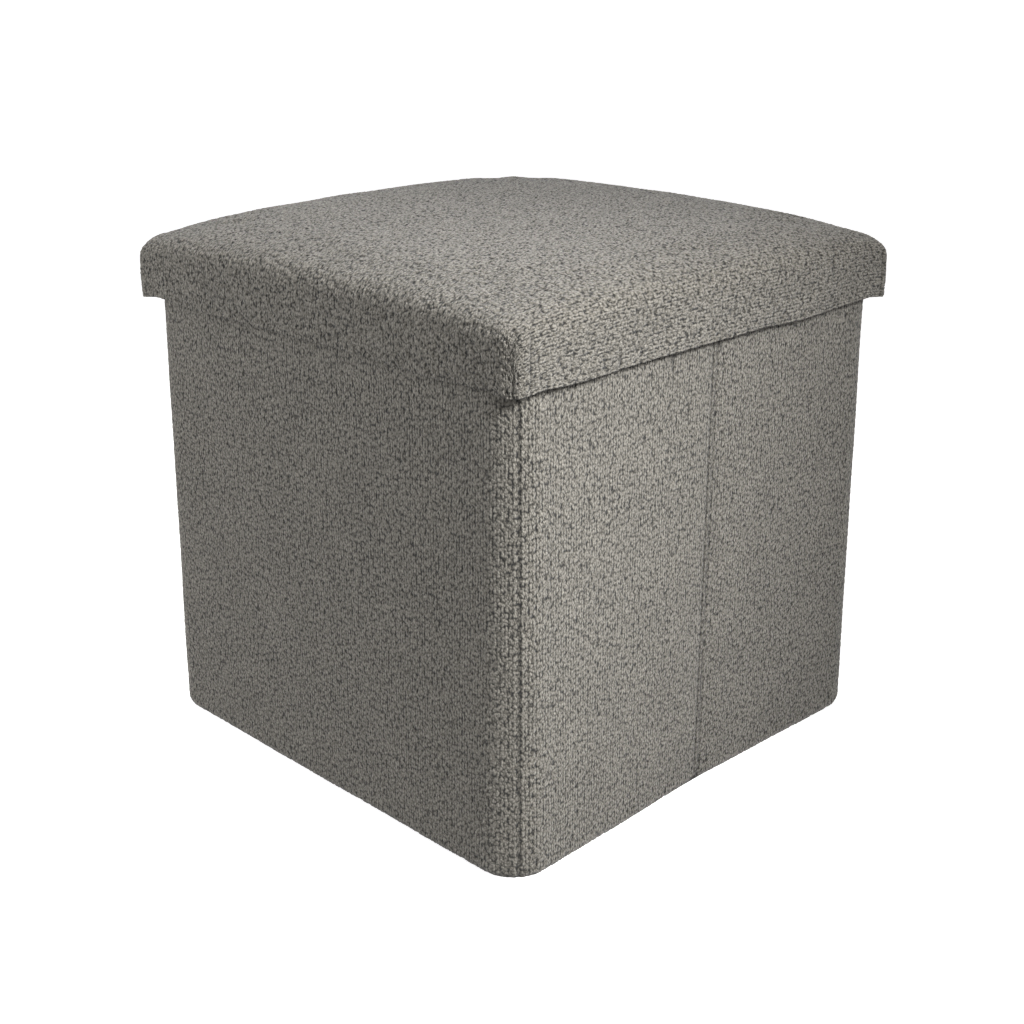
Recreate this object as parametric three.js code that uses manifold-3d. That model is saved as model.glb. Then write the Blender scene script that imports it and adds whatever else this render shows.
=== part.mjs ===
// Folding storage ottoman: a fabric-covered cube with a padded lift-off lid.
//
// Millimetres, +Z up. The origin is the centre of the footprint on the floor and -Y is the front.
// The front and back walls are whole, and each turns both of its rounded corners. The left and
// right walls are split into two halves that fold inwards. A board that flips up against the back
// wall stiffens the bottom.

import * as THREE from 'three';
import { mergeVertices } from 'three/addons/utils/BufferGeometryUtils.js';
import Module from 'manifold-3d';

// ---------------------------------------------------------------- driving dimensions

const BODY_WIDTH = 366; // outside of the walls, both ways
const CORNER_RADIUS = 24; // outside of the vertical corners
const GAP = 0.3; // between pieces that touch

// The walls, from the outside in.
const COVER_THICKNESS = 3;
const BOARD_THICKNESS = 4;
const LINING_THICKNESS = 1;
const BINDING_THICKNESS = 1;

// The bottom cloth is a shallow tray that the walls stand over.
const CLOTH_THICKNESS = 1.2;
const TRAY_HEIGHT = 8.7;
const WALL_CLEARANCE = 0.6; // from the tray's rim up to the walls

// The base board, its top cloth and its pull tab. It turns up about its back edge.
const BASE_WIDTH = 342;
const BASE_DEPTH = 336;
const BASE_CORNER_RADIUS = 12;
const BASE_THICKNESS = 4;
const BASE_CLOTH_THICKNESS = 0.8;
const TAB_WIDTH = 25;
const TAB_LENGTH = 42;
const TAB_THICKNESS = 1;
const TAB_EDGE_DISTANCE = 6; // from the base board's front edge

// The lid.
const LID_WIDTH = 380;
const LID_CORNER_RADIUS = 9;
const LID_COVER_THICKNESS = 2.6;
const HEM_HEIGHT = 320; // lower edge of the skirt, above the floor
const TOP_PANEL_BOTTOM = 350.5; // where the lid's top panel meets its skirt
const LID_BOARD_BOTTOM = 349.4;
const LID_CLEARANCE = 1.2; // from the walls up to the lid's lining, for the staples
const LID_BOARD_THICKNESS = 5;
const LID_BOARD_CORNER_RADIUS = 36;
const LID_LINING_THICKNESS = 0.6;
const SKIRT_CARD_THICKNESS = 1.8;
const SKIRT_CARD_HEIGHT = 24;
const SKIRT_HEM_ALLOWANCE = 2; // the cards and the skirt lining stop short of the hem
const SEAM_ANGLE = Math.PI / 180; // left open at each end of a skirt panel

// The lid's crown: height = CROWN_BASE + CROWN_RISE * ((1 - |u|^p) * (1 - |v|^p))^q,
// with u and v from -1 to 1 across the lid.
const CROWN_BASE = 336.6;
const CROWN_RISE = 44.5;
const CROWN_PLAN_POWER = 2.5;
const CROWN_EDGE_POWER = 0.15;
const FOAM_HALF_WIDTH = 184;
const FOAM_CORNER_RADIUS = 36;
const FOAM_CLEARANCE = 1.6; // under the cover

// The staples that hold the lid's lining to its board.
const STAPLE_WIDTH = 10;
const STAPLE_WIRE = 0.6;
const STAPLE_LEG = 4;
const STAPLE_EDGE_DISTANCE = 20; // in from the lid board's edge
const STAPLE_SPACING = 120; // along each edge
const STAPLES_PER_EDGE = 3;

// ---------------------------------------------------------------- derived dimensions

const BODY_HALF = BODY_WIDTH / 2;
const FLAT_HALF = BODY_HALF - CORNER_RADIUS; // where the flat part of a wall ends
const WALL_BOTTOM = TRAY_HEIGHT + WALL_CLEARANCE;
const LID_LINING_TOP = LID_BOARD_BOTTOM - GAP;
const LID_LINING_BOTTOM = LID_LINING_TOP - LID_LINING_THICKNESS;
const BINDING_TOP = LID_LINING_BOTTOM - LID_CLEARANCE;
const BINDING_BOTTOM = BINDING_TOP - BINDING_THICKNESS;
const WALL_TOP = BINDING_BOTTOM - GAP;
const WALL_HEIGHT = WALL_TOP - WALL_BOTTOM;
const WALL_LAYERS = {
  cover: { inset: 0, thickness: COVER_THICKNESS },
  board: { inset: COVER_THICKNESS + GAP, thickness: BOARD_THICKNESS },
  lining: {
    inset: COVER_THICKNESS + BOARD_THICKNESS + 2 * GAP,
    thickness: LINING_THICKNESS,
  },
};
const WALL_THICKNESS = WALL_LAYERS.lining.inset + LINING_THICKNESS;
const SIDE_HALF_LENGTH = FLAT_HALF - 2 * GAP; // a side half, from the crease to the corner

const LID_HALF = LID_WIDTH / 2;
const LID_INNER_HALF = LID_HALF - LID_COVER_THICKNESS;
const LID_INNER_RADIUS = LID_CORNER_RADIUS - LID_COVER_THICKNESS;
const SKIRT_CARD_OUTER = LID_INNER_HALF - GAP;
const SKIRT_LINING_OUTER = SKIRT_CARD_OUTER - SKIRT_CARD_THICKNESS - GAP;
const SKIRT_CARD_LENGTH = 2 * (LID_HALF - LID_CORNER_RADIUS);
const SKIRT_LINING_INSET = 1;
const SKIRT_LINING_LENGTH = SKIRT_CARD_LENGTH - 2 * SKIRT_LINING_INSET;
const SKIRT_BOTTOM = HEM_HEIGHT + SKIRT_HEM_ALLOWANCE;
const LID_BOARD_HALF = SKIRT_LINING_OUTER;
const LID_BOARD_TOP = LID_BOARD_BOTTOM + LID_BOARD_THICKNESS;

const QUARTER_TURN = Math.PI / 2;

// ---------------------------------------------------------------- mesh resolution

const CURVE_SEGMENTS = 8; // along each rounded corner of an extruded outline
const FLAT_STEPS = 12; // along each straight side of the lid's outline, closer near its ends
const ARC_STEPS = 4; // round each corner of the lid's outline
const CROWN_LEVELS = [0.4, 0.5, 0.6, 0.7, 0.78, 0.85, 0.9, 0.94, 0.97, 0.99]; // shares of the rise

// ---------------------------------------------------------------- materials

const FABRIC = new THREE.MeshStandardMaterial({ color: 0x8a8780, roughness: 0.95 });
const LINING = new THREE.MeshStandardMaterial({ color: 0x4a4844, roughness: 0.9 });
const FIBREBOARD = new THREE.MeshStandardMaterial({ color: 0x9c7c56, roughness: 0.8 });
const CARD = new THREE.MeshStandardMaterial({ color: 0xb08f66, roughness: 0.9 });
const FOAM = new THREE.MeshStandardMaterial({ color: 0xe6dfc8, roughness: 0.95 });
const RIBBON = new THREE.MeshStandardMaterial({ color: 0x3c3a37, roughness: 0.8 });
const STEEL = new THREE.MeshStandardMaterial({ color: 0xb8babd, roughness: 0.35, metalness: 1 });
const WALL_MATERIALS = { cover: FABRIC, board: FIBREBOARD, lining: LINING };

// ---------------------------------------------------------------- booleans

const wasm = await Module();
wasm.setup();

function toSolid(geometry) {
  const bare = geometry.clone();
  bare.deleteAttribute('normal');
  bare.deleteAttribute('uv');
  const merged = mergeVertices(bare);
  return new wasm.Manifold(
    new wasm.Mesh({
      numProp: 3,
      vertProperties: new Float32Array(merged.attributes.position.array),
      triVerts: new Uint32Array(merged.index.array),
    }),
  );
}

function toGeometry(solid) {
  const mesh = solid.getMesh();
  const geometry = new THREE.BufferGeometry();
  geometry.setAttribute('position', new THREE.BufferAttribute(mesh.vertProperties, 3));
  geometry.setIndex(new THREE.BufferAttribute(mesh.triVerts, 1));
  geometry.computeVertexNormals();
  return geometry;
}

function cut(geometry, tools) {
  const solid = tools.reduce((rest, tool) => rest.subtract(toSolid(tool)), toSolid(geometry));
  return toGeometry(solid);
}

// ---------------------------------------------------------------- shapes

// A box from its centre's x and y, its sizes, and the height of its underside.
function slab(x, y, bottom, sizeX, sizeY, sizeZ) {
  const geometry = new THREE.BoxGeometry(sizeX, sizeY, sizeZ);
  return geometry.translate(x, y, bottom + sizeZ / 2);
}

function prism(shape, bottom, height) {
  const options = { depth: height, bevelEnabled: false, curveSegments: CURVE_SEGMENTS };
  return new THREE.ExtrudeGeometry(shape, options).translate(0, 0, bottom);
}

function roundedRectangle(halfX, halfY, radius) {
  const x = halfX - radius;
  const y = halfY - radius;
  const shape = new THREE.Shape();
  shape.absarc(x, y, radius, 0, QUARTER_TURN, false);
  shape.absarc(-x, y, radius, QUARTER_TURN, 2 * QUARTER_TURN, false);
  shape.absarc(-x, -y, radius, 2 * QUARTER_TURN, 3 * QUARTER_TURN, false);
  shape.absarc(x, -y, radius, 3 * QUARTER_TURN, 4 * QUARTER_TURN, false);
  return shape;
}

// Plan of a band along the front, from -flatHalf to flatHalf, that turns by an angle round each end.
function bandPlan(flatHalf, outerRadius, thickness, turn) {
  const front = 3 * QUARTER_TURN;
  const innerRadius = outerRadius - thickness;
  const shape = new THREE.Shape();
  shape.absarc(-flatHalf, -flatHalf, outerRadius, front - turn, front, false);
  shape.absarc(flatHalf, -flatHalf, outerRadius, front, front + turn, false);
  shape.absarc(flatHalf, -flatHalf, innerRadius, front + turn, front, true);
  shape.absarc(-flatHalf, -flatHalf, innerRadius, front, front - turn, true);
  return shape;
}

function addMesh(group, name, geometry, material) {
  const mesh = new THREE.Mesh(geometry, material);
  mesh.name = name;
  group.add(mesh);
}

// ---------------------------------------------------------------- walls

// The front wall, or the back wall when the group is turned by half a turn.
function endWall(name, turn) {
  const group = new THREE.Group();
  group.rotation.z = turn;
  for (const layer of ['cover', 'lining']) {
    const { inset, thickness } = WALL_LAYERS[layer];
    const plan = bandPlan(FLAT_HALF, CORNER_RADIUS - inset, thickness, QUARTER_TURN);
    addMesh(group, `${name}_${layer}`, prism(plan, WALL_BOTTOM, WALL_HEIGHT), WALL_MATERIALS[layer]);
  }
  const { inset, thickness } = WALL_LAYERS.board;
  const boardY = -(BODY_HALF - inset - thickness / 2);
  const board = slab(0, boardY, WALL_BOTTOM, 2 * (FLAT_HALF - GAP), thickness, WALL_HEIGHT);
  addMesh(group, `${name}_board`, board, FIBREBOARD);
  const bindingPlan = bandPlan(FLAT_HALF, CORNER_RADIUS, WALL_THICKNESS, QUARTER_TURN);
  const binding = prism(bindingPlan, BINDING_BOTTOM, BINDING_THICKNESS);
  addMesh(group, `${name}_binding`, binding, RIBBON);
  return group;
}

// One half of a side wall. side is +1 on the right, and half is +1 at the back.
function sideHalf(name, side, half) {
  const group = new THREE.Group();
  const y = half * (GAP + SIDE_HALF_LENGTH / 2);
  for (const [layer, { inset, thickness }] of Object.entries(WALL_LAYERS)) {
    const x = side * (BODY_HALF - inset - thickness / 2);
    const panel = slab(x, y, WALL_BOTTOM, thickness, SIDE_HALF_LENGTH, WALL_HEIGHT);
    addMesh(group, `${name}_${layer}`, panel, WALL_MATERIALS[layer]);
  }
  const bindingX = side * (BODY_HALF - WALL_THICKNESS / 2);
  const binding = slab(
    bindingX, y, BINDING_BOTTOM, WALL_THICKNESS, SIDE_HALF_LENGTH, BINDING_THICKNESS,
  );
  addMesh(group, `${name}_binding`, binding, RIBBON);
  return group;
}

// ---------------------------------------------------------------- bottom

function bottomCloth() {
  const tray = prism(roundedRectangle(BODY_HALF, BODY_HALF, CORNER_RADIUS), 0, TRAY_HEIGHT);
  const innerHalf = BODY_HALF - COVER_THICKNESS;
  const innerPlan = roundedRectangle(innerHalf, innerHalf, CORNER_RADIUS - COVER_THICKNESS);
  return cut(tray, [prism(innerPlan, CLOTH_THICKNESS, TRAY_HEIGHT)]);
}

function base() {
  const group = new THREE.Group();
  const plan = roundedRectangle(BASE_WIDTH / 2, BASE_DEPTH / 2, BASE_CORNER_RADIUS);
  const boardBottom = CLOTH_THICKNESS + GAP;
  const clothBottom = boardBottom + BASE_THICKNESS + GAP;
  const tabBottom = clothBottom + BASE_CLOTH_THICKNESS + GAP;
  const tabY = -(BASE_DEPTH / 2 - TAB_EDGE_DISTANCE - TAB_LENGTH / 2);
  const tab = slab(0, tabY, tabBottom, TAB_WIDTH, TAB_LENGTH, TAB_THICKNESS);
  addMesh(group, 'base_board', prism(plan, boardBottom, BASE_THICKNESS), FIBREBOARD);
  addMesh(group, 'base_board_cloth', prism(plan, clothBottom, BASE_CLOTH_THICKNESS), LINING);
  addMesh(group, 'base_pull_tab', tab, RIBBON);
  return group;
}

// ---------------------------------------------------------------- lid

// Points round a rounded square, anticlockwise, with its straight sides divided too.
function squareOutline(half, radius) {
  const centre = half - radius;
  const side = [];
  for (let i = 0; i < FLAT_STEPS; i += 1) {
    side.push([half, centre * Math.sin(QUARTER_TURN * ((2 * i) / FLAT_STEPS - 1))]);
  }
  for (let i = 0; i < ARC_STEPS; i += 1) {
    const angle = QUARTER_TURN * (i / ARC_STEPS);
    side.push([centre + radius * Math.cos(angle), centre + radius * Math.sin(angle)]);
  }
  const quarterTurn = ([x, y]) => [-y, x];
  const outline = [];
  let quarter = side;
  for (let i = 0; i < 4; i += 1) {
    outline.push(...quarter);
    quarter = quarter.map(quarterTurn);
  }
  return outline;
}

// A closed solid through rings of points, capped by a fan at its first and last ring's centre.
function ringSolid(topCentre, rings, bottomCentre) {
  const count = rings[0].length;
  const positions = [topCentre, ...rings.flat(), bottomCentre].flat();
  const last = positions.length / 3 - 1;
  const at = (ring, i) => 1 + ring * count + (i % count);
  const faces = [];
  for (let i = 0; i < count; i += 1) {
    faces.push(0, at(0, i), at(0, i + 1));
    faces.push(last, at(rings.length - 1, i + 1), at(rings.length - 1, i));
    for (let ring = 0; ring + 1 < rings.length; ring += 1) {
      faces.push(at(ring, i), at(ring + 1, i), at(ring + 1, i + 1));
      faces.push(at(ring, i), at(ring + 1, i + 1), at(ring, i + 1));
    }
  }
  const geometry = new THREE.BufferGeometry();
  geometry.setAttribute('position', new THREE.Float32BufferAttribute(positions, 3));
  geometry.setIndex(faces);
  geometry.computeVertexNormals();
  return geometry;
}

function crownHeight(x, y, half) {
  const fall = (distance) => 1 - Math.min(1, Math.abs(distance / half)) ** CROWN_PLAN_POWER;
  return CROWN_BASE + CROWN_RISE * (fall(x) * fall(y)) ** CROWN_EDGE_POWER;
}

// Rings of a crowned surface, from its middle out to its edge.
function crownRings(outline, crownHalf, drop) {
  const scales = CROWN_LEVELS.map(
    (level) => (1 - level ** (1 / CROWN_EDGE_POWER)) ** (1 / CROWN_PLAN_POWER),
  );
  return scales.reverse().map((scale) => outline.map(([x, y]) => [
    x * scale, y * scale, crownHeight(x * scale, y * scale, crownHalf) - drop,
  ]));
}

function levelRing(outline, height) {
  return outline.map(([x, y]) => [x, y, height]);
}

function lidTopPanel() {
  const outer = squareOutline(LID_HALF, LID_CORNER_RADIUS);
  const inner = squareOutline(LID_INNER_HALF, LID_INNER_RADIUS);
  const rings = [
    ...crownRings(outer, LID_HALF, 0),
    levelRing(outer, TOP_PANEL_BOTTOM),
    levelRing(inner, TOP_PANEL_BOTTOM),
    ...crownRings(inner, LID_INNER_HALF, LID_COVER_THICKNESS).reverse(),
  ];
  const top = CROWN_BASE + CROWN_RISE;
  return ringSolid([0, 0, top], rings, [0, 0, top - LID_COVER_THICKNESS]);
}

// One side of the skirt, from the seam at one corner to the seam at the next.
function skirtPanel() {
  const flatHalf = LID_HALF - LID_CORNER_RADIUS;
  const turn = QUARTER_TURN / 2 - SEAM_ANGLE;
  const plan = bandPlan(flatHalf, LID_CORNER_RADIUS, LID_COVER_THICKNESS, turn);
  return prism(plan, HEM_HEIGHT, TOP_PANEL_BOTTOM - GAP - HEM_HEIGHT);
}

function lidFoam() {
  const outline = squareOutline(FOAM_HALF_WIDTH, FOAM_CORNER_RADIUS);
  const drop = LID_COVER_THICKNESS + FOAM_CLEARANCE;
  const bottom = LID_BOARD_TOP + GAP;
  const rings = [...crownRings(outline, LID_INNER_HALF, drop), levelRing(outline, bottom)];
  return ringSolid([0, 0, CROWN_BASE + CROWN_RISE - drop], rings, [0, 0, bottom]);
}

// Where the staples sit: their centre, and the turn that lays them along their edge.
function staplePlaces() {
  const places = [];
  const reach = LID_BOARD_HALF - STAPLE_EDGE_DISTANCE;
  for (let edge = 0; edge < 4; edge += 1) {
    for (let i = 0; i < STAPLES_PER_EDGE; i += 1) {
      const along = (i - (STAPLES_PER_EDGE - 1) / 2) * STAPLE_SPACING;
      places.push({ reach, along, turn: edge * QUARTER_TURN });
    }
  }
  return places;
}

function placed(geometry, { reach, along, turn }) {
  return geometry.translate(along, -reach, 0).rotateZ(turn);
}

// A staple's outline seen along the wire's depth: a crown with two legs pointing up.
function staple() {
  const outer = STAPLE_WIDTH / 2;
  const inner = outer - STAPLE_WIRE;
  const crownBottom = LID_LINING_BOTTOM - GAP - STAPLE_WIRE;
  const shape = new THREE.Shape();
  shape.moveTo(-outer, 0);
  shape.lineTo(outer, 0);
  shape.lineTo(outer, STAPLE_LEG);
  shape.lineTo(inner, STAPLE_LEG);
  shape.lineTo(inner, STAPLE_WIRE);
  shape.lineTo(-inner, STAPLE_WIRE);
  shape.lineTo(-inner, STAPLE_LEG);
  shape.lineTo(-outer, STAPLE_LEG);
  shape.closePath();
  const geometry = new THREE.ExtrudeGeometry(shape, { depth: STAPLE_WIRE, bevelEnabled: false });
  return geometry.translate(0, 0, -STAPLE_WIRE / 2).rotateX(QUARTER_TURN).translate(0, 0, crownBottom);
}

// The holes that one staple's legs go into, through the lining and into the board.
function stapleHoles(place) {
  const legX = STAPLE_WIDTH / 2 - STAPLE_WIRE / 2;
  const size = STAPLE_WIRE + 2 * GAP;
  const bottom = LID_LINING_BOTTOM - GAP - STAPLE_WIRE;
  const height = STAPLE_LEG + GAP;
  return [-legX, legX].map((x) => placed(slab(x, 0, bottom, size, size, height), place));
}

function lid() {
  const group = new THREE.Group();
  const places = staplePlaces();
  const holes = places.flatMap(stapleHoles);
  const boardPlan = roundedRectangle(LID_BOARD_HALF, LID_BOARD_HALF, LID_BOARD_CORNER_RADIUS);
  const board = prism(boardPlan, LID_BOARD_BOTTOM, LID_BOARD_THICKNESS);
  const lining = prism(boardPlan, LID_LINING_BOTTOM, LID_LINING_THICKNESS);
  addMesh(group, 'lid_board', cut(board, holes), FIBREBOARD);
  addMesh(group, 'lid_foam', lidFoam(), FOAM);
  addMesh(group, 'lid_top_panel', lidTopPanel(), FABRIC);
  addMesh(group, 'lid_lining', cut(lining, holes), LINING);
  for (const [edge, side] of ['front', 'right', 'back', 'left'].entries()) {
    const turn = edge * QUARTER_TURN;
    const cardY = -(SKIRT_CARD_OUTER - SKIRT_CARD_THICKNESS / 2);
    const card = slab(
      0, cardY, SKIRT_BOTTOM, SKIRT_CARD_LENGTH, SKIRT_CARD_THICKNESS, SKIRT_CARD_HEIGHT,
    );
    const liningY = -(SKIRT_LINING_OUTER - LID_LINING_THICKNESS / 2);
    const liningHeight = LID_LINING_BOTTOM - GAP - SKIRT_BOTTOM;
    const skirtLining = slab(
      0, liningY, SKIRT_BOTTOM, SKIRT_LINING_LENGTH, LID_LINING_THICKNESS, liningHeight,
    );
    addMesh(group, `lid_skirt_${side}`, skirtPanel().rotateZ(turn), FABRIC);
    addMesh(group, `lid_skirt_card_${side}`, card.rotateZ(turn), CARD);
    addMesh(group, `lid_skirt_lining_${side}`, skirtLining.rotateZ(turn), LINING);
  }
  for (const [i, place] of places.entries()) {
    addMesh(group, `lid_staple_${i + 1}`, placed(staple(), place), STEEL);
  }
  return group;
}

// ---------------------------------------------------------------- assembly

const ottoman = new THREE.Group();
ottoman.add(endWall('front', 0), endWall('back', Math.PI));
for (const [sideName, side] of [['right', 1], ['left', -1]]) {
  for (const [halfName, half] of [['back', 1], ['front', -1]]) {
    ottoman.add(sideHalf(`${sideName}_${halfName}`, side, half));
  }
}
addMesh(ottoman, 'bottom_cloth', bottomCloth(), LINING);
ottoman.add(base(), lid());

export default ottoman;
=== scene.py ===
"""The looks of a folding storage ottoman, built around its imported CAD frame. Lengths are in metres.

The outer cloth is followed by s, the distance round the body at its outer face. s starts at the middle of
the front wall and grows towards the right-hand side. Heights are in z.
"""

import math

import bpy
import numpy as np
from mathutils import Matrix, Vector


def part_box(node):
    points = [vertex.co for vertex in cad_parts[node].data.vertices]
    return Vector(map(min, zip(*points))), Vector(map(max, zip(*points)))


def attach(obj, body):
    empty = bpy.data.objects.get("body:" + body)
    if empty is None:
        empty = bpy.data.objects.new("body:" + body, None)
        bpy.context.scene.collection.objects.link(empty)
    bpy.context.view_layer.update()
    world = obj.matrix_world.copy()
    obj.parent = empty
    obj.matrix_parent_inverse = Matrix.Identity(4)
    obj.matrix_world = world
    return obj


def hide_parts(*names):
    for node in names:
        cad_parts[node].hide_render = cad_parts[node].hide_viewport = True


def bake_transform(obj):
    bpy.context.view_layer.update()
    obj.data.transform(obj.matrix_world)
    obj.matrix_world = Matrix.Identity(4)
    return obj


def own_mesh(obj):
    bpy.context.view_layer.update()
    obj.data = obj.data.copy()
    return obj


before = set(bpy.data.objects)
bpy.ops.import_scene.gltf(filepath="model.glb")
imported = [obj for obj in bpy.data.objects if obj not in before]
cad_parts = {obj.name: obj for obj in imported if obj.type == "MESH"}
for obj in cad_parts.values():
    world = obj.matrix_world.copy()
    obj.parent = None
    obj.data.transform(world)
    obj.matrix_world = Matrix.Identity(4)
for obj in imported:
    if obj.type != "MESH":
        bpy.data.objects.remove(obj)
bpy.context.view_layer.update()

MM = 0.001

# The body, from the frame.
cover_low, cover_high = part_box("front_cover")
lining_low, lining_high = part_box("right_front_lining")
BODY_HALF = cover_high.x
SEAM_Y = -cover_high.y
BODY_RADIUS = BODY_HALF - SEAM_Y
COVER_BOTTOM, COVER_TOP = cover_low.z, cover_high.z
WALL_THICKNESS = BODY_HALF - lining_low.x
LINING_THICKNESS = lining_high.x - lining_low.x
COVER_THICKNESS = BODY_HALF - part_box("right_front_cover")[0].x
CORNER_ARC = math.pi / 2 * BODY_RADIUS
QUARTER = 2 * SEAM_Y + CORNER_ARC
FRONT_SEAM = SEAM_Y + CORNER_ARC
CREASE = QUARTER
BACK_SEAM = QUARTER + SEAM_Y
PERIMETER = 4 * QUARTER

# The lid, from the frame.
LID_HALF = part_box("lid_skirt_right")[1].x
LID_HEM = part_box("lid_skirt_right")[0].z
LID_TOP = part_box("lid_top_panel")[1].z
SIDES = ("front", "right", "back", "left")

# The knit's loops, the depth of its relief and the height that isn't moved, and the mesh's cells.
LOOP_WIDTH = 2.3 * MM
LOOP_LENGTH = 2.9 * MM
KNIT_DEPTH = 0.8 * MM
KNIT_MIDDLE = 0.75
CELL_ACROSS = 0.85 * MM
CELL_ALONG = 1.15 * MM

# The long loops on both sides of a sewn seam.
BRAID_PITCH = 5.4 * MM
BRAID_MIDDLE = 2.5 * MM
BRAID_HALF_WIDTH = 1.9 * MM


# ---------------- camera, floor and light


def make_camera():
    """At the photograph's angle, with its framing."""
    azimuth, elevation = math.radians(45), math.radians(20.54)
    distance, target = 1.162, Vector((0.0024, -0.0039, 0.155))
    lens, sensor_width = 54.7, 36
    back = Vector((
        math.sin(azimuth) * math.cos(elevation),
        -math.cos(azimuth) * math.cos(elevation),
        math.sin(elevation),
    ))
    camera = bpy.data.objects.new("camera", bpy.data.cameras.new("camera"))
    camera.data.lens = lens
    camera.data.sensor_width = sensor_width
    camera.location = target + back * distance
    camera.rotation_euler = (-back).to_track_quat("-Z", "Y").to_euler()
    bpy.context.scene.collection.objects.link(camera)
    bpy.context.scene.camera = camera


def make_lamp(name, place, aim, size, power, spread=180):
    """A square soft lamp that faces a point, with its light held within spread degrees."""
    lamp = bpy.data.objects.new(name, bpy.data.lights.new(name, "AREA"))
    lamp.data.size = size
    lamp.data.energy = power
    lamp.data.spread = math.radians(spread)
    lamp.location = place
    lamp.rotation_euler = (Vector(aim) - lamp.location).to_track_quat("-Z", "Y").to_euler()
    bpy.context.scene.collection.objects.link(lamp)


def make_studio():
    """A white floor, a soft dome and three lamps: a narrow key on the right-hand wall, whose light fades
    towards its far end, a fill on the front wall, and a faint one from behind on the lid."""
    floor_half = 40
    mesh = bpy.data.meshes.new("floor")
    signs = ((-1, -1), (1, -1), (1, 1), (-1, 1))
    mesh.from_pydata([(a * floor_half, b * floor_half, 0) for a, b in signs], [], [(0, 1, 2, 3)])
    mesh.materials.append(floor_material())
    floor = bpy.data.objects.new("floor", mesh)
    floor.visible_diffuse = False
    bpy.context.scene.collection.objects.link(floor)

    make_dome()
    bpy.context.scene.view_settings.view_transform = "Standard"
    make_lamp("key", (1.55, 0.0, 1.26), aim=(BODY_HALF, -0.2, 0.27), size=0.4, power=2.55, spread=32)
    make_lamp("fill", (-1.1, -1.4, 0.8), aim=(-0.05, -BODY_HALF, 0.22), size=0.5, power=20)
    make_lamp("back", (-0.9, 1.3, 0.8), aim=(-0.03, 0.05, 0.36), size=0.5, power=2.5, spread=90)


def make_dome():
    """Soft light from all round, strongest from the sides, weaker from above and faint from below."""
    world = bpy.data.worlds.new("studio")
    world.use_nodes = True
    nodes, links = world.node_tree.nodes, world.node_tree.links
    nodes["Background"].inputs["Color"].default_value = (1, 1, 1, 1)
    direction = nodes.new("ShaderNodeTexCoord")
    height = nodes.new("ShaderNodeSeparateXYZ")
    links.new(direction.outputs["Generated"], height.inputs[0])

    def change(low, high, before, after):
        """A smooth change of strength as the direction's height goes from low to high."""
        node = nodes.new("ShaderNodeMapRange")
        node.interpolation_type = "SMOOTHSTEP"
        for socket, value in zip(("From Min", "From Max", "To Min", "To Max"), (low, high, before, after)):
            node.inputs[socket].default_value = value
        links.new(height.outputs["Z"], node.inputs["Value"])
        return node.outputs["Result"]

    strength = nodes.new("ShaderNodeMath")
    strength.operation = "MULTIPLY"
    links.new(change(-0.12, 0.2, 0.07, 1.0), strength.inputs[0])
    links.new(change(0.1, 1.0, 1.2, 0.1), strength.inputs[1])
    links.new(strength.outputs[0], nodes["Background"].inputs["Strength"])
    bpy.context.scene.world = world


# ---------------- node materials


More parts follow.
